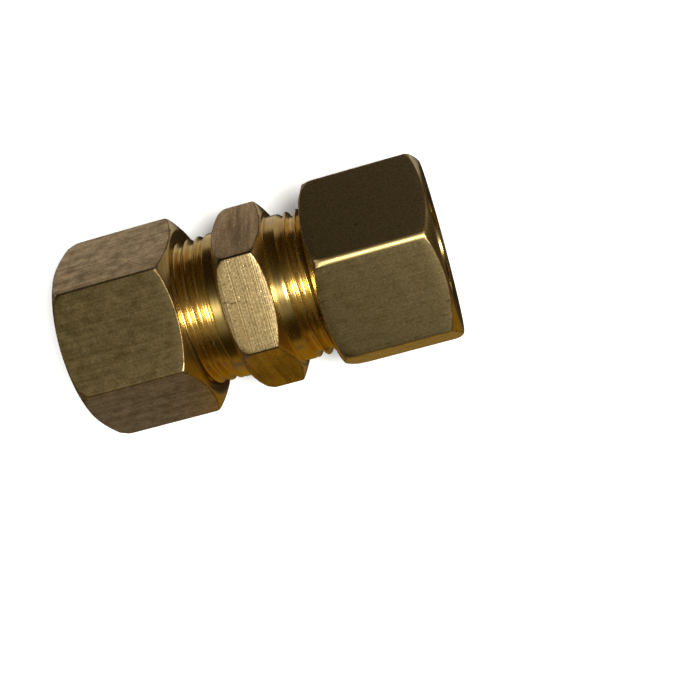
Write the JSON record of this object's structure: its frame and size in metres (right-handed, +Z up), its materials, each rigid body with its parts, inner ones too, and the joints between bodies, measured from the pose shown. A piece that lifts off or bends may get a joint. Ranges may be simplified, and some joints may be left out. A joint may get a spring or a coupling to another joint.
{
  "type": "compression fitting",
  "caption": "Straight brass compression union for half-inch tube, with a hex body, threaded ends, ferrules and hex nuts.",
  "frame": {"origin": "on the bore axis, at the middle of the hexagon, which is the centre of the whole part", "axes": "+X along the bore axis towards the right nut, +Z up with the part lying level on the lowest corner edge of each nut"},
  "size_m": [0.0438, 0.0232, 0.0224],
  "materials": {
    "body_brass": "turned and milled, satin",
    "nut_brass": "drawn hexagon bar, turned ends, slightly tarnished",
    "ferrule_brass": "turned, bright"
  },
  "bodies": {
    "body": {"fitting_body": "body_brass"},
    "left_ferrule": {"left_ferrule": "ferrule_brass"},
    "left_nut": {"left_nut": "nut_brass"},
    "right_ferrule": {"right_ferrule": "ferrule_brass"},
    "right_nut": {"right_nut": "nut_brass"}
  },
  "joints": [
    {"name": "right_nut_travel", "type": "slide", "parent": "body", "child": "right_ferrule", "axis": [1, 0, 0], "range_m": [-0.00128, 0.00763]},
    {"name": "right_nut_turn", "type": "hinge", "parent": "right_ferrule", "child": "right_nut", "pos_m": [0.01476, 0, 0], "axis": [1, 0, 0], "range_deg": [-360, 2160]},
    {"name": "left_nut_travel", "type": "slide", "parent": "body", "child": "left_ferrule", "axis": [-1, 0, 0], "range_m": [-0.00128, 0.00763]},
    {"name": "left_nut_turn", "type": "hinge", "parent": "left_ferrule", "child": "left_nut", "pos_m": [-0.01476, 0, 0], "axis": [-1, 0, 0], "range_deg": [-360, 2160]}
  ],
  "couplings": [
    {"joint": "right_nut_travel", "follows": "right_nut_turn", "m_per_rad": 0.00020213},
    {"joint": "left_nut_travel", "follows": "left_nut_turn", "m_per_rad": 0.00020213}
  ]
}
